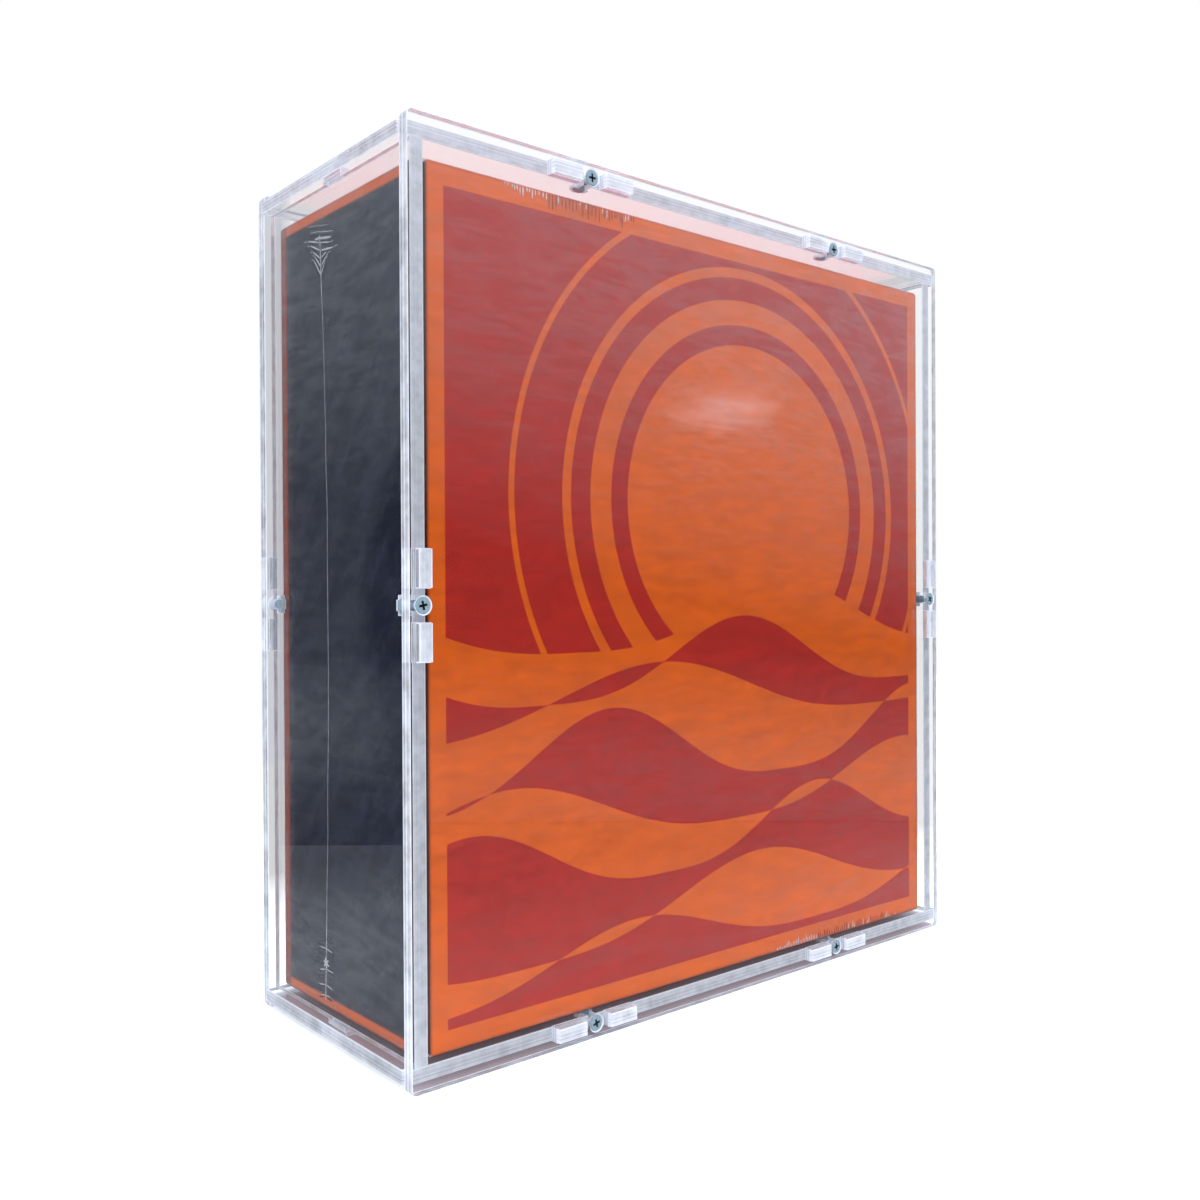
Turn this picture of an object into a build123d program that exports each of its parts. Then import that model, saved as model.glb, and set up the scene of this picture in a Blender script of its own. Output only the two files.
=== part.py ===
"""Display case of six laser-cut acrylic sheets round a shrink-wrapped carton.

The left, right, top and bottom panels stand between a front and a back panel.
Pairs of tabs on their edges pass through slots in the front and back panels.
Between each pair a countersunk screw runs through the front or back panel,
along a T-slot in the sheet's edge, into a nut that the T-slot holds. The side
panels also lock into the top and bottom panels with one tab at each end.

Millimetres. X runs to the right, Y to the back and Z up, from the middle of
the case's footprint.
"""

import os
from math import cos, radians

from build123d import *

# ---- carton and its film, which the case is made to fit ----
CARTON_WIDTH = 271.4
CARTON_DEPTH = 97.5
CARTON_HEIGHT = 293.0
CARTON_EDGE_RADIUS = 1.2
FILM = 0.15
SEAM_WIDTH = 1.2
SEAM_HEIGHT = 0.15
SEAM_FROM_FRONT = 61.9      # from the carton's front to the seam's middle

# ---- room round the carton ----
LEFT_GAP = 1.1
RIGHT_GAP = 2.3
FRONT_GAP = 1.5
BACK_GAP = 2.0
TOP_GAP = 4.825
FILM_FOLDS = 0.6            # folded film between the carton's film and the nuts under it

# ---- case: the front and back panels, and the four sheets between them ----
SHEET = 5.0                 # thickness of every sheet
OVERHANG = 2.6              # front and back panels beyond the sheets between them
LEDGE = 3.5                 # top and bottom panels beyond the side panels
CORNER_RADIUS = 2.0

# ---- tab joints ----
TAB_LENGTH = 12.5
TAB_PAIR_GAP = 11.3         # between the two tabs of a pair
TAB_PROUD = 1.6             # how far a tab stands out of its slot
TAB_CLEARANCE = 0.1         # round a tab, on each side
LOCK_TAB_LENGTH = 12.5      # side panel into the top or bottom panel
SIDE_JOINT_DROP = 0.7       # side joints below the middle of the height
LEVEL_JOINT_SPACING = 137.0  # between the two joints on a top or bottom edge

# ---- M3 countersunk screws and nuts ----
THREAD_DIA = 3.0
SCREW_LENGTH = 12.0         # with the head
HEAD_DIA = 5.5
HEAD_RIM = 0.35             # straight rim over the head's 90 degree cone
HEAD_SINK = 0.1             # head below the face of the panel
SEAT_CLEARANCE = 0.05       # between the head's cone and the countersink
RECESS_SPAN = 3.1           # cross recess, tip to tip
RECESS_WIDTH = 0.8
RECESS_DEPTH = 1.2
NUT_FLATS = 5.5
NUT_THICKNESS = 2.4
NUT_SETBACK = 3.9           # from the sheet's edge to the nut
NUT_BORE_CLEARANCE = 0.05   # round the screw, on each side
SCREW_CLEARANCE = 0.2       # round the screw in its hole and T-slot
NUT_CLEARANCE = 0.1         # round the nut in its T-slot
TIP_ROOM = 0.4              # T-slot beyond the screw's tip

# ---- derived places ----
NUT_CORNERS = NUT_FLATS / cos(radians(30))
CARTON_FLOOR = (NUT_FLATS - SHEET) / 2 + FILM_FOLDS + FILM
BORDER = OVERHANG + SHEET
INNER_DEPTH = FRONT_GAP + CARTON_DEPTH + BACK_GAP
SIDE_HEIGHT = CARTON_FLOOR + CARTON_HEIGHT + TOP_GAP
CASE_WIDTH = LEFT_GAP + CARTON_WIDTH + RIGHT_GAP + 2 * BORDER
CASE_HEIGHT = SIDE_HEIGHT + 2 * BORDER
CASE_DEPTH = INNER_DEPTH + 2 * SHEET
SIDE_MID_X = CASE_WIDTH / 2 - OVERHANG - SHEET / 2
LEVEL_MID_Z = {"bottom": OVERHANG + SHEET / 2, "top": CASE_HEIGHT - OVERHANG - SHEET / 2}
LEVEL_WIDTH = CASE_WIDTH - 2 * OVERHANG + 2 * LEDGE
SIDE_JOINT_Z = CASE_HEIGHT / 2 - SIDE_JOINT_DROP
TAB_REACH = SHEET + TAB_PROUD
TAB_OFFSET = (TAB_PAIR_GAP + TAB_LENGTH) / 2
SCREW_WAY = THREAD_DIA + 2 * SCREW_CLEARANCE
SCREW_IN_SHEET = HEAD_SINK + SCREW_LENGTH - SHEET
COUNTERSINK_DIA = HEAD_DIA + 2 * (HEAD_SINK + HEAD_RIM + SEAT_CLEARANCE)
NUT_MID_Y = CASE_DEPTH / 2 - SHEET - NUT_SETBACK - NUT_THICKNESS / 2
CARTON_MID = (
    BORDER + LEFT_GAP + CARTON_WIDTH / 2 - CASE_WIDTH / 2,
    FRONT_GAP + CARTON_DEPTH / 2 - INNER_DEPTH / 2,
    BORDER + CARTON_FLOOR + CARTON_HEIGHT / 2,
)


def joint_places():
    """Screw joints on the front or back panel: name -> (x, z, tabs stand one above the other)."""
    places = {
        "left": (-SIDE_MID_X, SIDE_JOINT_Z, True),
        "right": (SIDE_MID_X, SIDE_JOINT_Z, True),
    }
    for level, z in LEVEL_MID_Z.items():
        places[f"{level}_left"] = (-LEVEL_JOINT_SPACING / 2, z, False)
        places[f"{level}_right"] = (LEVEL_JOINT_SPACING / 2, z, False)
    return places


# ---- tab joint, drawn with the sheet's edge along X and the way out along +Y ----
def tab_pair():
    length = TAB_REACH + SHEET
    tab = Rectangle(TAB_LENGTH, length, align=(Align.CENTER, Align.MIN))
    return Sketch() + [Pos(side * TAB_OFFSET, -SHEET) * tab for side in (-1, 1)]


def t_slot():
    depth = SCREW_IN_SHEET + TIP_ROOM
    stem = Rectangle(SCREW_WAY, depth, align=(Align.CENTER, Align.MAX))
    pocket_length = NUT_THICKNESS + 2 * NUT_CLEARANCE
    pocket = Rectangle(NUT_CORNERS + 2 * NUT_CLEARANCE, pocket_length)
    return stem + Pos(0, -NUT_SETBACK - NUT_THICKNESS / 2) * pocket


def lock_tab(outward):
    tab = Rectangle(LOCK_TAB_LENGTH, TAB_REACH + SHEET)
    return Pos(0, outward * (SIDE_HEIGHT + TAB_REACH - SHEET) / 2) * tab


# ---- sheets ----
def face_outline():
    """Front or back panel: slots for the tabs and a hole for each screw."""
    outline = RectangleRounded(CASE_WIDTH, CASE_HEIGHT, CORNER_RADIUS)
    slot = Rectangle(TAB_LENGTH + 2 * TAB_CLEARANCE, SHEET + 2 * TAB_CLEARANCE)
    for x, z, upright in joint_places().values():
        joint = Circle(SCREW_WAY / 2) + [Pos(side * TAB_OFFSET, 0) * slot for side in (-1, 1)]
        outline -= Pos(x, z - CASE_HEIGHT / 2) * Rot(0, 0, 90 if upright else 0) * joint
    return outline


def face_panel(outer_y, outward):
    inner_y = outer_y - outward * SHEET
    plane = Plane(origin=(0, inner_y, CASE_HEIGHT / 2), x_dir=(1, 0, 0), z_dir=(0, -1, 0))
    panel = extrude(plane * face_outline(), amount=-outward * SHEET)
    for x, z, _ in joint_places().values():
        panel -= Pos(x, outer_y, z) * facing(outward) * cone_down(COUNTERSINK_DIA, SCREW_WAY)
    return panel


def side_panel(mid_x):
    joint_z = SIDE_JOINT_Z - CASE_HEIGHT / 2
    outline = Rectangle(INNER_DEPTH, SIDE_HEIGHT) + lock_tab(1) + lock_tab(-1)
    for outward, turn in ((-1, 90), (1, -90)):
        edge = Pos(outward * INNER_DEPTH / 2, joint_z) * Rot(0, 0, turn)
        outline = outline + edge * tab_pair() - edge * t_slot()
    plane = Plane(origin=(mid_x, 0, CASE_HEIGHT / 2), x_dir=(0, 1, 0), z_dir=(1, 0, 0))
    return extrude(plane * outline, amount=SHEET / 2, both=True)


def level_panel(mid_z):
    outline = Rectangle(LEVEL_WIDTH, INNER_DEPTH)
    for outward, turn in ((-1, 180), (1, 0)):
        for side in (-1, 1):
            edge = Pos(side * LEVEL_JOINT_SPACING / 2, outward * INNER_DEPTH / 2) * Rot(0, 0, turn)
            outline = outline + edge * tab_pair() - edge * t_slot()
    lock_slot = Rectangle(SHEET + 2 * TAB_CLEARANCE, LOCK_TAB_LENGTH + 2 * TAB_CLEARANCE)
    outline -= [Pos(side * SIDE_MID_X, 0) * lock_slot for side in (-1, 1)]
    return extrude(Plane.XY.offset(mid_z) * outline, amount=SHEET / 2, both=True)


# ---- fasteners, drawn with the head's face towards +Z, flush with the panel's face at Z = 0 ----
def facing(outward):
    """Turns +Z to the back where outward is 1, and to the front where it is -1."""
    return Rot(-90 * outward, 0, 0)


def cone_down(top_dia, bottom_dia):
    """90 degree cone that narrows downwards from Z = 0."""
    height = (top_dia - bottom_dia) / 2
    return Cone(bottom_dia / 2, top_dia / 2, height, align=(Align.CENTER, Align.CENTER, Align.MAX))


def screw():
    below = (Align.CENTER, Align.CENTER, Align.MAX)
    rim = Cylinder(HEAD_DIA / 2, HEAD_RIM, align=below)
    head = rim + Pos(0, 0, -HEAD_RIM) * cone_down(HEAD_DIA, THREAD_DIA)
    shank = Cylinder(THREAD_DIA / 2, SCREW_LENGTH - HEAD_RIM, align=below)
    arm = Rectangle(RECESS_SPAN, RECESS_WIDTH)
    cross = arm + Rot(0, 0, 90) * arm
    recess = extrude(Pos(0, 0, -RECESS_DEPTH) * cross, amount=RECESS_DEPTH)
    return Pos(0, 0, -HEAD_SINK) * (head + Pos(0, 0, -HEAD_RIM) * shank - recess)


def nut(corners_upright):
    hexagon = RegularPolygon(NUT_CORNERS / 2, 6, rotation=90 if corners_upright else 0)
    bore = Circle(THREAD_DIA / 2 + NUT_BORE_CLEARANCE)
    return extrude(hexagon - bore, amount=NUT_THICKNESS / 2, both=True)


# ---- carton and film ----
def rounded_block(grow):
    block = Box(CARTON_WIDTH + 2 * grow, CARTON_DEPTH + 2 * grow, CARTON_HEIGHT + 2 * grow)
    return fillet(block.edges(), CARTON_EDGE_RADIUS + grow)


def shrink_film():
    """Film all round the carton, with the welded seam up the left side."""
    seam = Box(FILM + SEAM_HEIGHT, SEAM_WIDTH, CARTON_HEIGHT - 2 * CARTON_EDGE_RADIUS)
    seam_x = -(CARTON_WIDTH + FILM + SEAM_HEIGHT) / 2
    seam_y = SEAM_FROM_FRONT - CARTON_DEPTH / 2
    return rounded_block(FILM) + Pos(seam_x, seam_y, 0) * seam - rounded_block(0)


def build():
    parts = {
        "front_panel": face_panel(-CASE_DEPTH / 2, -1),
        "back_panel": face_panel(CASE_DEPTH / 2, 1),
        "left_panel": side_panel(-SIDE_MID_X),
        "right_panel": side_panel(SIDE_MID_X),
        "carton": Pos(*CARTON_MID) * rounded_block(0),
        "shrink_film": Pos(*CARTON_MID) * shrink_film(),
    }
    for level, mid_z in LEVEL_MID_Z.items():
        parts[f"{level}_panel"] = level_panel(mid_z)
    for face, outward in (("front", -1), ("back", 1)):
        for name, (x, z, upright) in joint_places().items():
            turn = facing(outward)
            parts[f"screw_{face}_{name}"] = Pos(x, outward * CASE_DEPTH / 2, z) * turn * screw()
            parts[f"nut_{face}_{name}"] = Pos(x, outward * NUT_MID_Y, z) * turn * nut(upright)
    return parts


os.makedirs("parts", exist_ok=True)
for node, part in build().items():
    export_step(part, f"parts/{node}.step")
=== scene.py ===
"""Clear display case round a shrink-wrapped card carton, dressed for rendering.

Millimetres in every size below; the meshes are in metres, in the frame's axes:
X to the right, Y to the back, Z up.
"""

import math
import random

import bmesh
import bpy
from bpy.props import FloatProperty, FloatVectorProperty, PointerProperty
from mathutils import Matrix, Vector
from mathutils.noise import fractal, noise


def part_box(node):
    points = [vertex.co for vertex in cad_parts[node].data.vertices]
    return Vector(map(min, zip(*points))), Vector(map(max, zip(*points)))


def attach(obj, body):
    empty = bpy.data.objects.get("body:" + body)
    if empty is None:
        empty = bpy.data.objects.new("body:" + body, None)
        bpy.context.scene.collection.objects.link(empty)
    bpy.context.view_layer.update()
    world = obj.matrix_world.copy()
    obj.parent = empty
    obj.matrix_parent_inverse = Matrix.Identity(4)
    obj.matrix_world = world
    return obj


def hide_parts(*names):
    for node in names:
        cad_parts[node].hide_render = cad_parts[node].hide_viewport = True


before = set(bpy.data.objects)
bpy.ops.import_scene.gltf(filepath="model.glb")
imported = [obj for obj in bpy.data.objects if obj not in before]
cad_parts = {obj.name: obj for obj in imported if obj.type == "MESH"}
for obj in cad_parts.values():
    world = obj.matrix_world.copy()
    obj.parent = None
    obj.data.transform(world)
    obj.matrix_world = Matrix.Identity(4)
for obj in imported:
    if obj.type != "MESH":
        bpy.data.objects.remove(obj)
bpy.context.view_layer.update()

bl_info = {
    "name": "Card Display Case",
    "version": (1, 0, 0),
    "blender": (4, 5, 0),
    "location": "View3D > Sidebar > Display Case",
    "description": "Clear tab-and-slot display case with a shrink-wrapped carton",
    "category": "Object",
}

MM = 0.001
FACES = ("front", "back")
PLACES = ("left", "right", "top_left", "top_right", "bottom_left", "bottom_right")
SCREW_TURNS = (12, 38, 2, 5, 15, 10)    # how far each place's cross recess is turned, in degrees

WHITE = (1.0, 1.0, 1.0)
ACRYLIC_IOR = 1.49
FILM_IOR = 1.45
# painted light and shade: the cut edges' colour is painted brighter or darker between these heights
FOOT_TO_HEAD = (60.0, 290.0)    # heights between which the light in the cut edges changes
SKIN = 0.7                      # how far in a face of the carton still counts as that face
STROKE_RISE = 0.05              # how high a fold of the film stands
SUN_MIDDLE = (18.0, 186.0, 0.0)
SUN_RADIUS = 66.0
RING_EDGES = (74.0, 84.0, 93.0, 97.0, 118.0, 120.5)
BANDS = (                       # height, rise, wave length and phase of each band's upper edge
    (143.0, 13.0, 235.0, 0.4), (127.0, 15.0, 205.0, 1.1), (113.0, 12.0, 260.0, 2.3),
    (93.0, 16.0, 190.0, 3.4), (72.0, 12.0, 225.0, 4.4), (57.0, 13.0, 180.0, 5.7),
    (33.0, 12.0, 240.0, 0.9), (20.0, 9.0, 205.0, 2.9),
)
SEAM_PLACE = 59.6               # from the carton's front to the middle of the film's seam
SEAM_RISE = 0.1                 # how high the seam stands
SEAM_HALF_WIDTH = 3.5
SEAM_END = 30.0                 # how far from the carton's top and foot its stroke is wide

CAMERA_SPOT = (-0.3356, -0.3737, 0.1600)    # in metres
CAMERA_TURN = (0.7029, -0.0060, 0.0050)     # yaw, pitch and roll, in radians
AHEAD = (0.646, 0.763)          # the camera's heading along X and Y
FLOOR_WAY = (0.763, 0.646)      # the floor's long direction
FLOOR_ENDS = (-1.6, 1.8)        # its ends along that, in metres from the case
FLOOR_SIDES = (-0.419, 0.3865)  # its edges across that
POST_FROM = (335.6, 373.7)      # from the spot that the grey post's band spreads from
FLOOR_GLOW = 0.65
SEEN_THROUGH = (1.02, 0.7)      # light of the distance through clear sheets, and of its grey post


def millimetres(node):
    """A solid's lowest and highest corner, in millimetres."""
    low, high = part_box(node)
    return [value / MM for value in low], [value / MM for value in high]


FRONT_LOW, FRONT_HIGH = millimetres("front_panel")
BACK_LOW, BACK_HIGH = millimetres("back_panel")
LEFT_LOW, LEFT_HIGH = millimetres("left_panel")
RIGHT_LOW, RIGHT_HIGH = millimetres("right_panel")
TOP_LOW, TOP_HIGH = millimetres("top_panel")
BOTTOM_LOW, BOTTOM_HIGH = millimetres("bottom_panel")
CARTON_LOW, CARTON_HIGH = millimetres("carton")
FILM_LOW, FILM_HIGH = millimetres("shrink_film")


# ---------------------------------------------------------------- settings
def length(text, value):
    return FloatProperty(description=text, default=value, min=0.0, precision=3)


def colour(text, value):
    return FloatVectorProperty(
        description=text, default=value, size=3, min=0.0, max=1.0, subtype="COLOR"
    )


class CaseSizes(bpy.types.PropertyGroup):
    """Sizes of the sheets, the screws and the film, in millimetres."""

    arris: length("Width of the broken edge round each sheet", 0.14)
    corner_radius: length("Corners of the front and back panels", 2.0)
    tab_length: length("Length of one tab", 12.5)
    tab_centre: length("From a screw to the middle of a tab beside it", 11.9)
    tab_clearance: length("Room round a tab in its slot", 0.1)
    lock_tab_length: length("Tab from a side panel into a level one", 12.5)
    screw_way: length("Width of a screw's hole and T-slot", 3.4)
    slot_depth: length("Depth of a T-slot from the sheet's edge", 7.5)
    pocket_start: length("From the sheet's edge to the nut's pocket", 3.8)
    pocket_length: length("Nut's pocket along the screw", 2.6)
    pocket_width: length("Nut's pocket across the screw", 6.55)
    countersink: length("Diameter of a countersink at the panel's face", 6.5)
    head_diameter: length("Screw head", 5.5)
    head_rim: length("Straight rim over the head's cone", 0.35)
    head_sink: length("Head below the face of the panel", 0.1)
    head_bevel: length("Rounding round the head's face", 0.16)
    thread_diameter: length("Over the crests of the thread", 3.0)
    thread_pitch: length("From crest to crest", 0.5)
    screw_length: length("With the head", 12.0)
    recess_span: length("Cross recess from tip to tip", 3.1)
    recess_width: length("One arm of the cross recess", 0.8)
    recess_depth: length("Cross recess", 1.2)
    nut_flats: length("Across the nut's flats", 5.5)
    nut_thickness: length("Along the nut's bore", 2.4)
    nut_bore: length("Diameter of the nut's bore", 3.06)
    carton_radius: length("Rounding of the carton's edges", 1.4)
    print_margin: length("Plain border round the front print", 7.6)
    side_margin: length("Coloured border up the dark sides", 5.3)
    level_margin: length("Coloured border over and under the dark sides", 4.3)


class CaseColours(bpy.types.PropertyGroup):
    """Colours of the sheets, the carton, the film and the screws."""

    clear: colour("Tint of the clear faces", (0.985, 0.99, 0.995))
    cut_edge: colour("Tint of the laser-cut edges", (0.8, 0.81, 0.83))
    frost: colour("Scattered light in the laser-cut edges", (0.84, 0.86, 0.93))
    zinc: colour("Plating of screws and nuts", (0.21, 0.29, 0.34))
    orange: colour("Light colour of the print", (0.75, 0.12, 0.006))
    dark_red: colour("Dark colour of the print", (0.46, 0.02, 0.012))
    top_print: colour("Top and bottom of the carton", (0.7, 0.03, 0.05))
    slate: colour("Sides of the carton", (0.005, 0.0085, 0.03))
    bare_card: colour("Worn corners of the carton", (0.75, 0.68, 0.6))


# ---------------------------------------------------------------- node helpers
class Field:
    """A node's output. Arithmetic on it adds nodes to its tree."""

    def __init__(self, socket):
        self.socket, self.tree = socket, socket.id_data

    def __add__(self, other):
        return maths("ADD", self, other)

    def __sub__(self, other):
        return maths("SUBTRACT", self, other)

    def __rsub__(self, other):
        return maths("SUBTRACT", other, self)

    def __mul__(self, other):
        return maths("MULTIPLY", self, other)

    def __truediv__(self, other):
        return maths("DIVIDE", self, other)

    def __abs__(self):
        return maths("ABSOLUTE", self)

    def __gt__(self, other):
        return maths("GREATER_THAN", self, other)

    def __lt__(self, other):
        return maths("LESS_THAN", self, other)


def feed(socket, value):
    """Links a field to the socket, or sets the socket to a value."""
    if isinstance(value, Field):
        socket.id_data.links.new(value.socket, socket)
    elif socket.type == "RGBA":
        socket.default_value = (*value, 1.0)
    else:
        socket.default_value = value


def put(tree, kind, settings=None, **inputs):
    """A new node with its settings, and its inputs by name."""
    node = tree.nodes.new(kind)
    for key, value in (settings or {}).items():
        setattr(node, key, value)
    for key, value in inputs.items():
        feed(node.inputs[key.replace("_", " ")], value)
    return node


def grab(tree, kind, output, settings=None, **inputs):
    """One output of a new node."""
    return Field(put(tree, kind, settings, **inputs).outputs[output])


def wired(kind, settings, values, output=0):
    """One output of a new node whose first inputs take the values, at least one of them a field."""
    tree = next(value.tree for value in values if isinstance(value, Field))
    node = put(tree, kind, settings)
    for socket, value in zip(node.inputs, values):
        feed(socket, value)
    return Field(node.outputs[output])


def maths(operation, *values, clamp=False):
    return wired("ShaderNodeMath", {"operation": operation, "use_clamp": clamp}, values)


def vector_maths(operation, *values, output=0):
    return wired("ShaderNodeVectorMath", {"operation": operation}, values, output)


def ramp(value, low, high, to_low=0.0, to_high=1.0):
    """value from low..high taken to to_low..to_high, held at both ends."""
    return wired("ShaderNodeMapRange", {}, (value, low, high, to_low, to_high))


def joined(x, y, z=0.0):
    return wired("ShaderNodeCombineXYZ", {}, (x, y, z))


def split(vector):
    node = put(vector.tree, "ShaderNodeSeparateXYZ", Vector=vector)
    return [Field(socket) for socket in node.outputs]


def shaded(colour, share):
    """The colour, each channel times the share."""
    return vector_maths("MULTIPLY", colour, joined(share, share, share))


def blend_colour(factor, first, second):
    node = put(factor.tree, "ShaderNodeMix", {"data_type": "RGBA"})
    for number, value in ((0, factor), (6, first), (7, second)):
        feed(node.inputs[number], value)
    return Field(node.outputs[2])


def mix_shaders(factor, first, second):
    return wired("ShaderNodeMixShader", {}, (factor, first, second))


def light_path(tree):
    """What is known of the ray: name of the output -> field."""
    return {socket.name: Field(socket) for socket in put(tree, "ShaderNodeLightPath").outputs}


def new_material(name):
    """The cleared node tree of a new material."""
    material = bpy.data.materials.new(name)
    material.use_nodes = True
    material.node_tree.nodes.clear()
    return material.node_tree


def place_on_object(tree, scale=(1.0, 1.0, 1.0)):
    """Object coordinates in millimetres, stretched by scale."""
    spot = grab(tree, "ShaderNodeTexCoord", "Object")
    return vector_maths("MULTIPLY", spot, tuple(s / MM for s in scale))


def noise_at(where, scale, detail=2.0, roughness=0.5, distortion=0.0):
    return grab(where.tree, "ShaderNodeTexNoise", "Fac", Vector=where, Scale=scale,
                Detail=detail, Roughness=roughness, Distortion=distortion)


def bump(height, distance, strength, **under):
    return grab(height.tree, "ShaderNodeBump", 0, Height=height, Distance=distance,
                Strength=strength, **under)


def finish_material(shader):
    put(shader.tree, "ShaderNodeOutputMaterial", Surface=shader)


# ---------------------------------------------------------------- finishes
def let_lamps_through(shader, tint):
    """Rays to the lamps pass straight through, so that what is behind stays lit."""
    clear = grab(shader.tree, "ShaderNodeBsdfTransparent", 0, Color=tint)
    return mix_shaders(light_path(shader.tree)["Is Shadow Ray"], shader, clear)


def clear_acrylic(colours):
    tree = new_material("clear_acrylic")
    haze = noise_at(place_on_object(tree), 0.05, 3.0)
    shader = grab(tree, "ShaderNodeBsdfPrincipled", 0, Base_Color=colours.clear, IOR=ACRYLIC_IOR,
                  Transmission_Weight=1.0, Roughness=ramp(haze, 0.35, 0.75, 0.0, 0.012))
    finish_material(let_lamps_through(shader, (0.93, 0.935, 0.94)))


def cut_acrylic(colours, name, through, frosted, shade=(1.0, 1.0)):
    """Laser-cut edge of a sheet whose thickness runs along axis through: 0, 1 or 2.

    frosted is the lowest and the highest share of light that the cut scatters, and shade is painted
    light and shade: how bright the edge is painted at the case's foot and at its head.
    """
    tree = new_material(name + "xyz"[through])
    where = place_on_object(tree)
    low, high = ((RIGHT_LOW, RIGHT_HIGH), (BACK_LOW, BACK_HIGH), (TOP_LOW, TOP_HIGH))[through]
    middle = (BOTTOM_LOW[2] + TOP_HIGH[2]) / 2 if through == 2 else 0.0
    parts = split(where)
    depth = abs(parts[through] - middle)
    from_face = maths("MINIMUM", depth - (low[through] - middle), high[through] - middle - depth)
    lines = noise_at(joined(depth, 0.0), 0.9, 2.0)
    across = [1.0, 1.0, 1.0]
    across[through] = 0.05
    streaks = noise_at(place_on_object(tree, across), 1.6, 3.0, 0.6)
    clouds = noise_at(where, 0.16, 3.0, 0.55)
    # painted shade: the clear part's tint is scaled by shade's value at the head
    clear = grab(tree, "ShaderNodeBsdfPrincipled", 0, IOR=ACRYLIC_IOR, Transmission_Weight=1.0,
                 Base_Color=[shade[1] * channel for channel in colours.cut_edge],
                 Roughness=ramp(clouds, 0.3, 0.7, 0.03, 0.12),
                 Normal=bump(streaks, 0.00003, 0.4, Normal=bump(clouds, 0.0006, 0.3)))
    # painted light and shade: the frosted colour is scaled from shade's foot value to its head
    # value
    frost = shaded(tuple(colours.frost), ramp(parts[2], *FOOT_TO_HEAD, *shade))
    matt = grab(tree, "ShaderNodeBsdfDiffuse", 0, Color=frost)
    glow = grab(tree, "ShaderNodeBsdfTranslucent", 0, Color=frost)
    share = ramp(clouds, 0.3, 0.7, *frosted) + ramp(lines, 0.35, 0.65, -0.25, 0.15)
    # painted light: level sheets scatter a larger share towards the foot, to brighten their lower
    # edges
    if through == 2:
        share += ramp(parts[2], *FOOT_TO_HEAD, 0.2, 0.0)
    share = maths("ADD", share, ramp(from_face, 0.2, 0.6, 0.35, 0.0), clamp=True)
    cut = mix_shaders(share, clear, mix_shaders(0.4, matt, glow))
    finish_material(let_lamps_through(cut, (0.85, 0.86, 0.87)))


def zinc_plate(colours):
    tree = new_material("zinc_plate")
    where = place_on_object(tree)
    cloud = noise_at(where, 0.9, 3.0)
    brighter = [min(1.0, channel * 1.25) for channel in colours.zinc]
    plated = blend_colour(ramp(cloud, 0.3, 0.7), colours.zinc, brighter)
    recess = grab(tree, "ShaderNodeAttribute", "Fac", {"attribute_name": "recess"})
    # painted shade: faces that the cross recess cut are painted near black, for the shade inside it
    finish_material(grab(tree, "ShaderNodeBsdfPrincipled", 0, Metallic=0.3,
                         Base_Color=blend_colour(recess, plated, (0.03, 0.045, 0.05)),
                         Roughness=ramp(cloud, 0.3, 0.7, 0.3, 0.42),
                         Normal=bump(noise_at(where, 9.0, 2.0), 0.00002, 0.4)))


def below(value, edge, blur=0.12):
    """1 where value is under edge, 0 over it, in millimetres."""
    return ramp(value - edge, -blur, blur, 1.0, 0.0)


def toggle(first, second):
    """1 where exactly one of the two masks is 1."""
    return abs(first - second)


def print_pattern(across, up):
    """Mask of the light colour: a sun with rings over rolling bands, in millimetres."""
    radius = vector_maths("LENGTH", vector_maths("SUBTRACT", joined(across, up), SUN_MIDDLE),
                          output="Value")
    sky = below(radius, SUN_RADIUS)
    for ring in RING_EDGES:
        sky = toggle(sky, below(radius, ring))
    edges = []
    for height, rise, wave, phase in BANDS:
        swell = maths("SINE", maths("MULTIPLY_ADD", across, 2.0 * math.pi / wave, phase))
        peak = maths("POWER", maths("MULTIPLY_ADD", swell, 0.5, 0.5), 1.6)
        edges.append(below(up, maths("MULTIPLY_ADD", peak, 2.0 * rise, height - rise)))
    shore = bands = edges[0]
    for edge in edges[1:]:
        bands = toggle(bands, edge)
    return maths("ADD", bands * shore, sky * (1.0 - shore), clamp=True)


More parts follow.
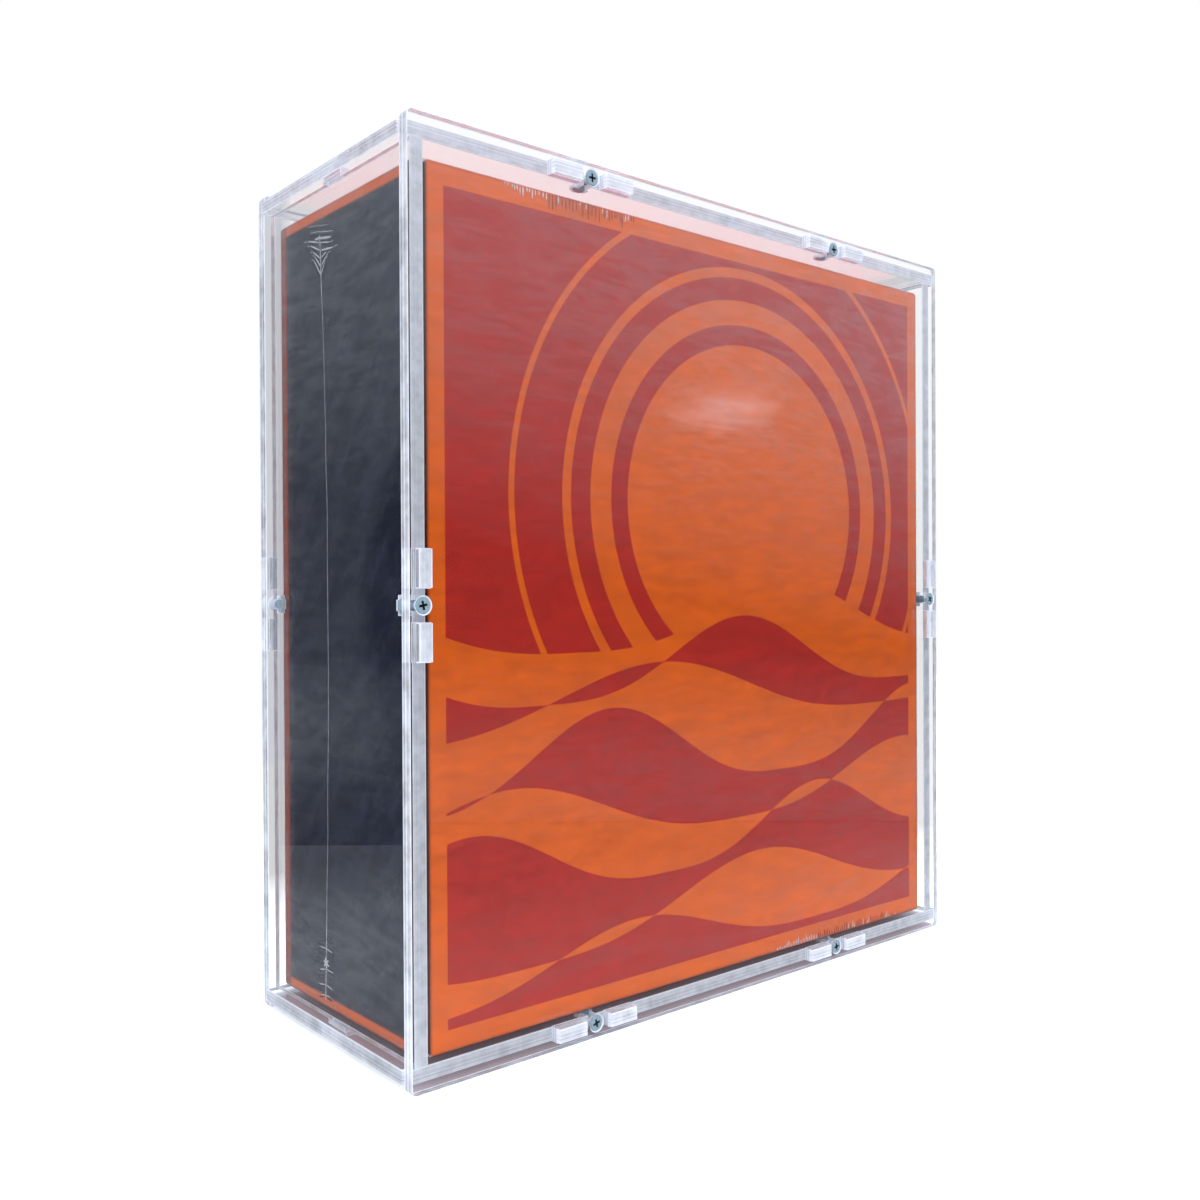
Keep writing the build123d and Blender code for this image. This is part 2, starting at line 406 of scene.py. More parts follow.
def printed_card(sizes, colours):
    tree = new_material("carton_print")
    where = place_on_object(tree)
    x, y, z = split(where)
    in_x, in_y, in_z = (maths("MINIMUM", part - low, high - part)
                        for part, low, high in zip((x, y, z), CARTON_LOW, CARTON_HIGH))
    pattern = print_pattern(x - (CARTON_LOW[0] + CARTON_HIGH[0]) / 2, z - CARTON_LOW[2])
    frame_edge = maths("MINIMUM", in_x, in_z)
    in_field = below(in_y, SKIN) * (1.0 - below(frame_edge, sizes.print_margin))
    field = blend_colour(pattern, colours.dark_red, colours.orange)
    base = blend_colour(in_field, colours.orange, field)
    base = blend_colour(below(in_z, 0.5), base, colours.top_print)

    in_side = below(in_x, SKIN) * (1.0 - below(in_y, sizes.side_margin, 0.5))
    in_side = in_side * (1.0 - below(in_z, sizes.level_margin, 0.5))
    slanted = joined(y + z, (y - z) * 0.3)
    blotches = ramp(noise_at(slanted, 0.1, 5.0, 0.7, 0.6), 0.42, 0.68)
    paler = [channel * 1.6 + 0.022 for channel in colours.slate]
    base = blend_colour(in_side, base, blend_colour(blotches, colours.slate, paler))
    side_edge = below(in_x, 0.9, 0.3)
    # painted shade: on the dark sides, the border strip by the front corner is painted near-black
    # red and the strip by the back corner a dull dark orange
    for from_corner, ink, shade_dims in ((y - CARTON_LOW[1], colours.dark_red, (0.2, 0.2, 0.2)),
                                   (CARTON_HIGH[1] - y, colours.orange, (0.42, 0.3, 0.3))):
        border = below(from_corner, sizes.side_margin, 0.5) * side_edge
        base = blend_colour(border, base, [dim * channel for dim, channel in zip(shade_dims, ink)])

    # ink a little uneven, painted light and shade in ripples, painted shade at the edges, corners
    # rubbed down to the card
    ripples = noise_at(place_on_object(tree, (0.3, 0.3, 1.0)), 0.3, 3.0, 0.6, 0.4)
    ink = ramp(noise_at(where, 0.35, 4.0, 0.6), 0.3, 0.7, 0.96, 1.0)
    # painted light and shade: the ripples make the print from 7% darker to 6% brighter, as the
    # film's waves would light it
    base = shaded(base, ink * ramp(ripples, 0.36, 0.64, 0.93, 1.06))
    # painted shade: darker within about 2 mm of each edge, down to 0.4 of its colour on the upright
    # edges
    upright = in_x + in_y
    edge = maths("MINIMUM", maths("MINIMUM", upright, in_y + in_z), in_x + in_z)
    base = shaded(base, maths("MINIMUM", ramp(edge, 0.7, 1.8, 0.6, 1.0),
                              ramp(upright, 0.7, 2.0, 0.4, 1.0)))
    rub = maths("MULTIPLY_ADD", noise_at(where, 2.2, 3.0, 0.7), 5.0, upright + in_z)
    base = blend_colour(below(rub, 4.4, 0.5), base, colours.bare_card)
    fibre = noise_at(where, 1.6, 3.0, 0.65)
    finish_material(grab(tree, "ShaderNodeBsdfPrincipled", 0, Base_Color=base,
                         Specular_IOR_Level=0.2, Roughness=ramp(fibre, 0.3, 0.7, 0.42, 0.55),
                         Normal=bump(fibre, 0.00003, 0.5)))


def film_stroke(name, tint, cover):
    """A fold's painted highlight or a crease's painted shade on the film: its tint covers what is
    under it by the share cover.
    """
    tree = new_material(name)
    matt = grab(tree, "ShaderNodeBsdfDiffuse", 0, Color=tint)
    gloss = grab(tree, "ShaderNodeBsdfGlossy", 0, Color=WHITE, Roughness=0.2)
    clear = grab(tree, "ShaderNodeBsdfTransparent", 0, Color=WHITE)
    finish_material(mix_shaders(cover, clear, mix_shaders(0.12, matt, gloss)))


def shrink_wrap():
    """Clear film: rippled reflections that come and go, and no bending of what is behind."""
    tree = new_material("shrink_wrap")
    drawn = place_on_object(tree, (0.25, 0.25, 1.0))
    ripples = noise_at(place_on_object(tree, (0.6, 0.6, 1.0)), 0.035, 2.0, 0.5, 0.3)
    mottled = noise_at(place_on_object(tree), 0.3, 2.0, 0.6)
    waves = maths("MULTIPLY_ADD", noise_at(drawn, 0.2, 2.0, 0.5, 0.3), 0.45,
                  maths("MULTIPLY_ADD", mottled, 0.12, ripples))
    normal = bump(waves, 0.001, 0.4)
    gloss = grab(tree, "ShaderNodeBsdfGlossy", 0, Color=WHITE, Roughness=0.12, Normal=normal)
    clear = grab(tree, "ShaderNodeBsdfTransparent", 0, Color=(0.99, 0.99, 0.99))
    behind = grab(tree, "ShaderNodeNewGeometry", "Backfacing")
    shine = grab(tree, "ShaderNodeFresnel", 0, Normal=normal,
                 IOR=ramp(behind, 0.0, 1.0, FILM_IOR, 1 / FILM_IOR))
    wavelets = noise_at(drawn, 0.2, 3.0, 0.65, 0.4)
    finish_material(mix_shaders(shine * ramp(wavelets, 0.4, 0.6, 0.35, 1.65), clear, gloss))


def post_at(x, y):
    """1 in a narrow band behind the case's left edge: the grey post that its sheets show."""
    slope = (x * AHEAD[1] - y * AHEAD[0]) / (x * AHEAD[0] + y * AHEAD[1])
    band = ramp(slope, -0.264, -0.274) * ramp(slope, -0.315, -0.3)
    return band * (x * AHEAD[0] + y * AHEAD[1] > 0.0)


def floor_paint():
    """Pale matt floor, with a painted shadow under the case. It glows where it is looked at, but
    not under the case.

    Far off and through clear sheets it looks like the surroundings, so that its end doesn't show.
    """
    tree = new_material("floor_paint")
    where = place_on_object(tree)
    x, y, _ = split(where)
    path = light_path(tree)
    looked_at, through = path["Is Camera Ray"], path["Is Transmission Ray"]
    mirrored = path["Glossy Depth"] > 0.5
    off = maths("MAXIMUM", abs(x) - FRONT_HIGH[0], abs(y) - BACK_HIGH[1])
    open_floor = ramp(off, -1.0, 3.0)
    distant = ramp(off, 60.0, 200.0) * through
    pale = ramp(noise_at(where, 0.01, 2.0), 0.2, 0.8, 0.8, 0.82)
    shade = pale * ramp(mirrored, 0.0, 1.0, 1.0, 0.25) * (1.0 - distant)
    # painted shadow: under the case, except where it is looked at directly, the floor's colour is
    # darkened to a mauve grey
    lit = maths("MAXIMUM", open_floor, looked_at)
    under = [shade * ramp(lit, 0.0, 1.0, dim, 1.0) for dim in (0.55, 0.46, 0.5)]
    matt = grab(tree, "ShaderNodeBsdfDiffuse", 0, Color=joined(*under))
    post = post_at(x + POST_FROM[0], y + POST_FROM[1])
    bright = ramp(distant, 0.0, 1.0, FLOOR_GLOW, ramp(post, 0.0, 1.0, *SEEN_THROUGH))
    seen = maths("MAXIMUM", looked_at, through) * (1.0 - mirrored)
    glow = grab(tree, "ShaderNodeEmission", 0, Color=WHITE, Strength=seen * bright * open_floor)
    finish_material(wired("ShaderNodeAddShader", {}, (matt, glow)))


def paint_surroundings(tree):
    """White where it is looked at, a dim room where it is mirrored, light from above elsewhere."""
    x, y, z = split(grab(tree, "ShaderNodeTexCoord", "Generated"))
    leftward = ramp(x, 0.2, -0.2)
    slant = maths("MULTIPLY_ADD", abs(x), 0.35, z)
    ceiling = ramp(slant, 0.24, 0.48, 0.0, 0.8) * ramp(leftward, 0.0, 1.0, 1.0, 0.38)
    dip = leftward * ramp(z, -0.08, -0.16, 0.0, 0.85)
    skirt = ramp(z, -0.05, -0.15, 0.0, 0.3) * (1.0 - dip)
    bowed = maths("MULTIPLY_ADD", maths("POWER", abs(z + 0.02), 2.0), 0.9, x)
    wall = ramp(bowed, -0.49, -0.475, 0.0, 0.09) * leftward
    rear = ramp(y, -0.3, 0.6, 0.015, 0.045) + wall * ramp(z, -0.2, -0.1)
    patch = joined((x * 0.678 + y * 0.719) / 0.05, (z - 0.155) / 0.02)
    ragged = vector_maths("LENGTH", patch, output="Value") + noise_at(patch, 1.6, 2.0) * 1.2
    highlight = ramp(ragged, 1.7, 0.8, 0.0, 1.3) * ramp(y, -0.2, -0.4)
    mirrored = (ceiling + skirt) + (rear + highlight)

    path = light_path(tree)
    room = ramp(path["Diffuse Depth"] > 0.5, 0.0, 1.0, mirrored, ramp(z, 0.05, 0.4, 0.15, 2.1))
    straight = path["Glossy Depth"] + path["Diffuse Depth"] < 0.5
    through = path["Is Transmission Ray"] * straight
    post = post_at(x, y)
    plain = maths("MAXIMUM", through * ramp(post, 0.0, 1.0, *SEEN_THROUGH), path["Is Camera Ray"])
    tint = blend_colour(plain > 0.5, (0.85, 0.92, 1.0), WHITE)
    tint = blend_colour(post * through, tint, (0.93, 0.94, 1.0))
    sky = grab(tree, "ShaderNodeBackground", 0, Color=tint, Strength=maths("MAXIMUM", room, plain))
    put(tree, "ShaderNodeOutputWorld", Surface=sky)


# ---------------------------------------------------------------- meshes
def link_object(name, mesh):
    thing = bpy.data.objects.new(name, mesh)
    bpy.context.scene.collection.objects.link(thing)
    return thing


def as_shaped(thing):
    """The object's shape with its bevel or its modifiers, as a new mesh."""
    bpy.context.view_layer.update()
    graph = bpy.context.evaluated_depsgraph_get()
    return bpy.data.meshes.new_from_object(thing.evaluated_get(graph))


def mesh_from(work, name):
    """The bmesh as a new mesh."""
    mesh = bpy.data.meshes.new(name)
    work.to_mesh(mesh)
    work.free()
    return mesh


def arc(centre_x, centre_y, radius, start, end, steps):
    return [
        (centre_x + radius * math.cos(math.radians(start + (end - start) * n / steps)),
         centre_y + radius * math.sin(math.radians(start + (end - start) * n / steps)))
        for n in range(steps + 1)
    ]


def rounded_outline(width, height, radius):
    x, y = width / 2 - radius, height / 2 - radius
    points = []
    for centre_x, centre_y, start in ((x, y, 0), (-x, y, 90), (-x, -y, 180), (x, -y, 270)):
        points += arc(centre_x, centre_y, radius, start, start + 90, 10)
    return points


def block_outline(centre_x, centre_y, width, height):
    x, y = width / 2, height / 2
    return [(centre_x - x, centre_y - y), (centre_x + x, centre_y - y),
            (centre_x + x, centre_y + y), (centre_x - x, centre_y + y)]


def on_edge(start, end, profile):
    """Points of the profile, each given along the line from start to end and out to its right."""
    sx, sy = start
    span = math.hypot(end[0] - sx, end[1] - sy)
    tx, ty = (end[0] - sx) / span, (end[1] - sy) / span
    return [(sx + tx * along + ty * out, sy + ty * along - tx * out) for along, out in profile]


def tab(middle, width, reach):
    half = width / 2
    return [(middle - half, 0), (middle - half, reach), (middle + half, reach), (middle + half, 0)]


def edge_with_joints(sizes, start, end, joints, reach):
    """Points from start to end, with tabs and a T-slot at each joint's distance from start."""
    way, pocket = sizes.screw_way / 2, sizes.pocket_width / 2
    near, far = sizes.pocket_start, sizes.pocket_start + sizes.pocket_length
    slot = [(way, 0), (way, -near), (pocket, -near), (pocket, -far), (way, -far),
            (way, -sizes.slot_depth)]
    profile = tab(-sizes.tab_centre, sizes.tab_length, reach)
    profile += [(-along, out) for along, out in slot] + slot[::-1]
    profile += tab(sizes.tab_centre, sizes.tab_length, reach)
    points = [start]
    for joint in joints:
        points += on_edge(start, end, [(joint + along, out) for along, out in profile])
    return points


def edge_with_lock(sizes, start, end, middle, reach):
    """Points from start to end, with one lock tab at middle from start."""
    return [start] + on_edge(start, end, tab(middle, sizes.lock_tab_length, reach))


def cut_sheet(sizes, name, outlines, thickness, place):
    """A sheet with broken edges. Its clear faces are slot 0, its cut edges slot 1."""
    drawing = bpy.data.curves.new(name + "_drawing", "CURVE")
    drawing.dimensions = "2D"
    drawing.fill_mode = "BOTH"
    drawing.bevel_depth = sizes.arris * MM
    drawing.bevel_resolution = 0
    drawing.offset = -sizes.arris * MM
    drawing.extrude = (thickness / 2 - sizes.arris) * MM
    for outline in outlines:
        line = drawing.splines.new("POLY")
        line.points.add(len(outline) - 1)
        line.use_cyclic_u = True
        for point, (x, y) in zip(line.points, outline):
            point.co = (x * MM, y * MM, 0.0, 1.0)
    holder = link_object(name + "_drawing", drawing)
    mesh = as_shaped(holder)
    bpy.data.objects.remove(holder)
    bpy.data.curves.remove(drawing)
    mesh.name = name
    work = bmesh.new()
    work.from_mesh(mesh)
    bmesh.ops.remove_doubles(work, verts=work.verts, dist=0.000002)
    bmesh.ops.recalc_face_normals(work, faces=work.faces)
    for face in work.faces:
        face.smooth = False
        face.material_index = 0 if abs(face.normal.z) > 0.9 else 1
    work.to_mesh(mesh)
    work.free()
    mesh.transform(place)
    return mesh


def axes_matrix(right, up, origin):
    """Drawing X along right, drawing Y along up, at origin in millimetres."""
    x, y = Vector(right), Vector(up)
    z = x.cross(y)
    turn = Matrix((x, y, z)).transposed().to_4x4()
    return Matrix.Translation(Vector(origin) * MM) @ turn


def joint_spots():
    """Each screw joint on the front or back panel: place -> (x, z, upright)."""
    side = {"left": (LEFT_LOW[0] + LEFT_HIGH[0]) / 2, "right": (RIGHT_LOW[0] + RIGHT_HIGH[0]) / 2}
    spots = {}
    for place in PLACES:
        low, high = millimetres("screw_front_" + place)
        spots[place] = ((low[0] + high[0]) / 2, (low[2] + high[2]) / 2, place in side)
    return spots


def face_panel(sizes, name, low, high):
    width, height = high[0] - low[0], high[2] - low[2]
    outlines = [rounded_outline(width, height, sizes.corner_radius)]
    room = 2 * sizes.tab_clearance
    thick = LEFT_HIGH[0] - LEFT_LOW[0] + room
    tall = sizes.tab_length + room
    for x, z, upright in joint_spots().values():
        up = z - (low[2] + high[2]) / 2
        outlines.append(arc(x, up, sizes.screw_way / 2, 0, 360, 32)[:-1])
        for shift in (-sizes.tab_centre, sizes.tab_centre):
            if upright:
                outlines.append(block_outline(x, up + shift, thick, tall))
            else:
                outlines.append(block_outline(x + shift, up, tall, thick))
    middle = [(a + b) / 2 for a, b in zip(low, high)]
    mesh = cut_sheet(sizes, name, outlines, high[1] - low[1],
                     axes_matrix((1, 0, 0), (0, 0, 1), middle))
    return countersunk(sizes, mesh, low, high)


def countersunk(sizes, mesh, low, high):
    """The panel's mesh with a cone cut into its outer face at each screw."""
    outward = -1 if low[1] < 0 else 1
    face = low[1] if outward < 0 else high[1]
    over = 0.5      # how far each cutter stands out of the face
    top, foot = sizes.countersink / 2 + over, sizes.screw_way / 2 - 0.02
    cones = bmesh.new()
    for x, z, _ in joint_spots().values():
        spin = Matrix.Rotation(math.radians(-90 * outward), 4, "X")
        place = Matrix.Translation(Vector((x, face + outward * (over - (top - foot) / 2), z)))
        bmesh.ops.create_cone(cones, cap_ends=True, segments=64, radius1=foot, radius2=top,
                              depth=top - foot, matrix=place @ spin)
    bmesh.ops.scale(cones, vec=(MM, MM, MM), verts=cones.verts)
    panel = link_object("panel_blank", mesh)
    tool = link_object("countersinks", mesh_from(cones, "countersinks"))
    cut = panel.modifiers.new("countersinks", "BOOLEAN")
    cut.operation, cut.solver, cut.object = "DIFFERENCE", "EXACT", tool
    carved = as_shaped(panel)
    for thing in (panel, tool):
        bpy.data.objects.remove(thing)
    for polygon in carved.polygons:
        polygon.material_index = 0 if abs(polygon.normal.y) > 0.9 else 1
    return carved


def whiten_walls(sizes, mesh):
    """Slot 2 for the ends of tabs and slots and for the screws' ways, slot 3 for level ends."""
    reach = sizes.tab_centre + sizes.tab_length / 2 + 0.5
    spots = joint_spots().values()
    for polygon in mesh.polygons:
        if polygon.material_index != 1:
            continue
        x, _, z = polygon.center / MM
        for at_x, at_z, upright in spots:
            along, aside, tilt = abs(z - at_z), abs(x - at_x), abs(polygon.normal.z)
            if not upright:
                along, aside, tilt = aside, along, abs(polygon.normal.x)
            at_end = along < reach and aside < 3.2 and tilt > 0.6
            if at_end or math.hypot(along, aside) < sizes.countersink / 2:
                polygon.material_index = 2
        beyond_sides = abs(x) > RIGHT_HIGH[0] + 0.5 and abs(polygon.normal.x) > 0.6
        if beyond_sides and abs(polygon.center.y) < -FRONT_HIGH[1] * MM:
            polygon.material_index = 3


def side_panel(sizes, name, low, high):
    half = (BACK_LOW[1] - FRONT_HIGH[1]) / 2
    foot, head = BOTTOM_HIGH[2], TOP_LOW[2]
    reach_face, reach_level = FRONT_HIGH[1] - low[1], foot - low[2]
    _, joint, _ = joint_spots()["left"]
    middle = (foot + head) / 2
    tall = (head - foot) / 2
    corners = [(-half, -tall), (half, -tall), (half, tall), (-half, tall)]
    outline = edge_with_lock(sizes, corners[0], corners[1], half, reach_level)
    outline += edge_with_joints(sizes, corners[1], corners[2], [joint - foot], reach_face)
    outline += edge_with_lock(sizes, corners[2], corners[3], half, reach_level)
    outline += edge_with_joints(sizes, corners[3], corners[0], [head - joint], reach_face)
    return cut_sheet(sizes, name, [outline], high[0] - low[0],
                     axes_matrix((0, 1, 0), (0, 0, 1), ((low[0] + high[0]) / 2, 0.0, middle)))


def level_panel(sizes, name, low, high):
    half = (BACK_LOW[1] - FRONT_HIGH[1]) / 2
    wide = (high[0] - low[0]) / 2
    reach = FRONT_HIGH[1] - low[1]
    across = [x for x, _, upright in joint_spots().values() if not upright]
    stops = sorted(set(round(x + wide, 4) for x in across))
    outline = edge_with_joints(sizes, (-wide, -half), (wide, -half), stops, reach)
    outline += [(wide, -half)]
    outline += edge_with_joints(sizes, (wide, half), (-wide, half), stops, reach)
    outline += [(-wide, half)]
    room = 2 * sizes.tab_clearance
    lock = [block_outline((start + end) / 2, 0.0, end - start + room, sizes.lock_tab_length + room)
            for start, end in ((LEFT_LOW[0], LEFT_HIGH[0]), (RIGHT_LOW[0], RIGHT_HIGH[0]))]
    return cut_sheet(sizes, name, [outline] + lock, high[2] - low[2],
                     axes_matrix((1, 0, 0), (0, 1, 0), (0.0, 0.0, (low[2] + high[2]) / 2)))


def steps_along(low, high, radius, pitch):
    """Grid lines from low to high, close together where the edges are rounded."""
    near = [radius * (1 - math.cos(math.radians(a))) for a in (0, 22.5, 45, 67.5, 90)]
    count = max(2, round((high - low - 2 * radius) / pitch))
    inside = [low + radius + (high - low - 2 * radius) * n / count for n in range(1, count)]
    return [low + n for n in near] + inside + [high - n for n in reversed(near)]


def rounded_shell(name, low, high, radius, pitch, lift):
    """Closed box with rounded edges on a grid. lift(point, normal) gives the rise of a point."""
    lines = [steps_along(a, b, radius, pitch) for a, b in zip(low, high)]
    core_low = [a + radius for a in low]
    core_high = [b - radius for b in high]
    work = bmesh.new()
    known = {}

    def corner(point):
        key = tuple(round(value, 4) for value in point)
        if key not in known:
            inside = Vector([min(max(p, a), b) for p, a, b in zip(point, core_low, core_high)])
            out = (Vector(point) - inside).normalized()
            on_skin = inside + out * radius
            known[key] = work.verts.new((on_skin + out * lift(on_skin, out)) * MM)
        return known[key]

    for axis in range(3):
        first, second = [n for n in range(3) if n != axis]
        for end in (0, -1):
            for i in range(len(lines[first]) - 1):
                for j in range(len(lines[second]) - 1):
                    ring = []
                    for a, b in ((i, j), (i + 1, j), (i + 1, j + 1), (i, j + 1)):
                        point = [0.0, 0.0, 0.0]
                        point[axis] = lines[axis][end]
                        point[first] = lines[first][a]
                        point[second] = lines[second][b]
                        ring.append(corner(point))
                    work.faces.new(ring).smooth = True
    bmesh.ops.recalc_face_normals(work, faces=work.faces)
    return mesh_from(work, name)


# ---------------------------------------------------------------- geometry nodes
class Tree:
    """A geometry node tree with named inputs, made one node at a time."""

    def __init__(self, name, *labels):
        self.group = bpy.data.node_groups.new(name, "GeometryNodeTree")
        face = self.group.interface
        face.new_socket("Geometry", in_out="INPUT", socket_type="NodeSocketGeometry")
        face.new_socket("Geometry", in_out="OUTPUT", socket_type="NodeSocketGeometry")
        self.identifiers = {}
        for label in (*labels, "Material"):
            kind = "NodeSocketMaterial" if label == "Material" else "NodeSocketFloat"
            socket = face.new_socket(label, in_out="INPUT", socket_type=kind)
            self.identifiers[label] = socket.identifier
        self.entry = self.group.nodes.new("NodeGroupInput")
        self.values = [self.value(label) for label in labels]

    def value(self, label):
        return Field(self.entry.outputs[label])

    def node(self, kind, settings=None, **inputs):
        return grab(self.group, kind, 0, settings, **inputs)

    def attribute(self, name):
        return self.node("GeometryNodeInputNamedAttribute", {"data_type": "FLOAT_VECTOR"},
                         Name=name)

    def join(self, *parts):
        node = put(self.group, "GeometryNodeJoinGeometry")
        for part in reversed(parts):
            feed(node.inputs[0], part)
        return Field(node.outputs[0])

    def copies(self, shape, **more):
        """The shape at each point of the tree's own geometry, turned by the point's attribute."""
        return self.node("GeometryNodeInstanceOnPoints", Points=self.value("Geometry"),
                         Instance=shape, Rotation=self.attribute("turn"), **more)

    def finish(self, geometry):
        whole = self.node("GeometryNodeRealizeInstances", Geometry=geometry)
        painted = self.node("GeometryNodeSetMaterial", Geometry=whole,
                            Material=self.value("Material"))
        put(self.group, "NodeGroupOutput", Geometry=painted)
        return self

    def run(self, base, material, **sizes):
        """The tree's result on the mesh base, as a plain mesh. Sizes are in millimetres."""
        holder = link_object(base.name + "_holder", base)
        modifier = holder.modifiers.new("shape", "NODES")
        modifier.node_group = self.group
        for name, size in sizes.items():
            modifier[self.identifiers[name.replace("_", " ")]] = size * MM
        modifier[self.identifiers["Material"]] = bpy.data.materials[material]
        mesh = as_shaped(holder)
        holder.modifiers.remove(modifier)
        bpy.data.objects.remove(holder)
        return mesh


def carve(first, second, operation="DIFFERENCE"):
    """The first shape less the second, or what the two have in common."""
    node = put(first.tree, "GeometryNodeMeshBoolean", {"operation": operation})
    feed(node.inputs[0 if operation == "DIFFERENCE" else 1], first)
    feed(node.inputs[1], second)
    return Field(node.outputs[0])


def revolved(tree, around, along, radius, height):
    """Closed shape from a grid: radius and height are fields of the grid's U and V."""
    grid = tree.node("GeometryNodeMeshGrid", Size_X=1.0, Size_Y=1.0, Vertices_X=around,
                     Vertices_Y=along)
    x, y, _ = split(tree.node("GeometryNodeInputPosition"))
    u, v = x + 0.5, y + 0.5
    angle = u * (2.0 * math.pi)
    out = radius(u, v)
    spot = joined(out * maths("COSINE", angle), out * maths("SINE", angle), height(v))
    moved = tree.node("GeometryNodeSetPosition", Geometry=grid, Position=spot)
    return tree.node("GeometryNodeMergeByDistance", Geometry=moved, Distance=0.00000005)


def through_values(v, values):
    """Field that takes each of the values in turn as v runs from 0 to 1."""
    spans = len(values) - 1
    total = values[0]
    for n in range(spans):
        rise = values[n + 1] - values[n]
        total = ramp(v, n / spans, (n + 1) / spans, 0.0, rise) + total
    return total


def screw_tree():
    """Countersunk screw with a cross recess: its face is up, and its thread runs down."""
    tree = Tree("countersunk_screw", "Head Diameter", "Head Rim", "Head Bevel", "Thread Diameter",
                "Pitch", "Length", "Recess Span", "Recess Width", "Recess Depth")
    over_head, rim_height, bevel, over_thread, pitch, whole, span, width, depth = tree.values
    rim, crest = over_head / 2.0, over_thread / 2.0
    cone = rim - crest
    cone_foot = rim_height + cone
    face = rim - bevel
    core = crest - pitch * 0.6
    first_row, last_row = 0.0079, 0.9921    # V of the shank's rows beside its closed ends

    def head_radius(_, v):
        return through_values(v, (0.0, face, rim, rim, core, 0.0))

    def head_height(v):
        return through_values(v, (0.0, 0.0, bevel, rim_height, cone_foot, cone_foot)) * -1.0

    def shank_radius(u, v):
        phase = maths("FRACT", v * whole / pitch + u)
        tooth = abs(phase - 0.5) * 2.0
        open_row = (v > 0.003) * (v < 0.997)
        return (crest - tooth * (pitch * 0.5)) * open_row

    def shank_height(v):
        held = maths("MINIMUM", maths("MAXIMUM", v, first_row), last_row)
        return ramp(held, first_row, last_row) * ((whole - cone) * -1.0) - cone

    head = revolved(tree, 49, 6, head_radius, head_height)
    shank = revolved(tree, 25, 129, shank_radius, shank_height)
    cube = tree.node("GeometryNodeMeshCube", Size=joined(span, width, depth * 2.0))
    # marks the faces that the recess's arms cut, for the zinc finish's painted shade
    arm = tree.node("GeometryNodeStoreNamedAttribute", {"data_type": "FLOAT", "domain": "FACE"},
                    Geometry=cube, Name="recess", Value=1.0)
    for turn in (0.0, math.radians(90)):
        placed = tree.node("GeometryNodeTransform", Geometry=arm, Rotation=(0.0, 0.0, turn))
        head = carve(head, placed)
    flat = tree.node("GeometryNodeSetShadeSmooth", Geometry=head, Shade_Smooth=False)
    return tree.finish(tree.join(flat, shank))


def nut_tree():
    """A hexagon nut with its corners taken down, at each point."""
    tree = Tree("captive_nuts", "Across Flats", "Thickness", "Bore")
    flats, thickness, bore = tree.values
    corner = flats / (2.0 * math.cos(math.radians(30)))
    body = tree.node("GeometryNodeMeshCylinder", {"fill_type": "NGON"}, Vertices=6, Radius=corner,
                     Depth=thickness)
    shoulder = tree.node("GeometryNodeMeshUVSphere", Segments=48, Rings=24,
                         Radius=corner * 1.055)
    hole = tree.node("GeometryNodeMeshCylinder", {"fill_type": "NGON"}, Vertices=32,
                     Radius=bore / 2.0, Depth=thickness * 1.5)
    nut = carve(carve(body, shoulder, "INTERSECT"), hole)
    return tree.finish(tree.copies(nut))


def stroke_tree():
    """A long thin ridge at each point, turned and sized by the point's attributes."""
    tree = Tree("film_strokes")
    ridge = tree.node("GeometryNodeMeshUVSphere", Segments=8, Rings=6, Radius=1.0)
    return tree.finish(tree.copies(ridge, Scale=tree.attribute("size")))


def points_mesh(name, middles, **vectors):
    """A mesh of points in metres, with a vector attribute for each named list of numbers."""
    base = bpy.data.meshes.new(name)
    base.from_pydata(middles, [], [])
    for label, numbers in vectors.items():
        base.attributes.new(label, "FLOAT_VECTOR", "POINT").data.foreach_set("vector", numbers)
    return base


def lay_strokes(tree, name, material, strokes):
    """Ridges on the film from strokes: ends, the face's normal and width, in millimetres."""
    middles, turns, spans = [], [], []
    for start, end, normal, width in strokes:
        start, end, normal = Vector(start), Vector(end), Vector(normal)
        along = (end - start).normalized()
        middles.append((start + end) / 2 * MM)
        turns += Matrix((along, normal.cross(along), normal)).transposed().to_euler()
        spans += [(end - start).length / 2 * MM, width / 2 * MM, STROKE_RISE * MM]
    base = points_mesh(name, middles, turn=turns, size=spans)
    ridges = link_object(name, tree.run(base, material))
    wear(ridges, material)
    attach(ridges, "carton")


def seam_at(z):
    """Y of the film's seam at a height: it bows a little."""
    middle = (CARTON_LOW[2] + CARTON_HIGH[2]) / 2
    share = (z - middle) / (CARTON_HIGH[2] - middle)
    wander = 0.5 * noise(Vector((3.1, 0.0, z * 0.05)))
    return CARTON_LOW[1] + SEAM_PLACE + (4.4 + 0.9 * share) * share * share + wander


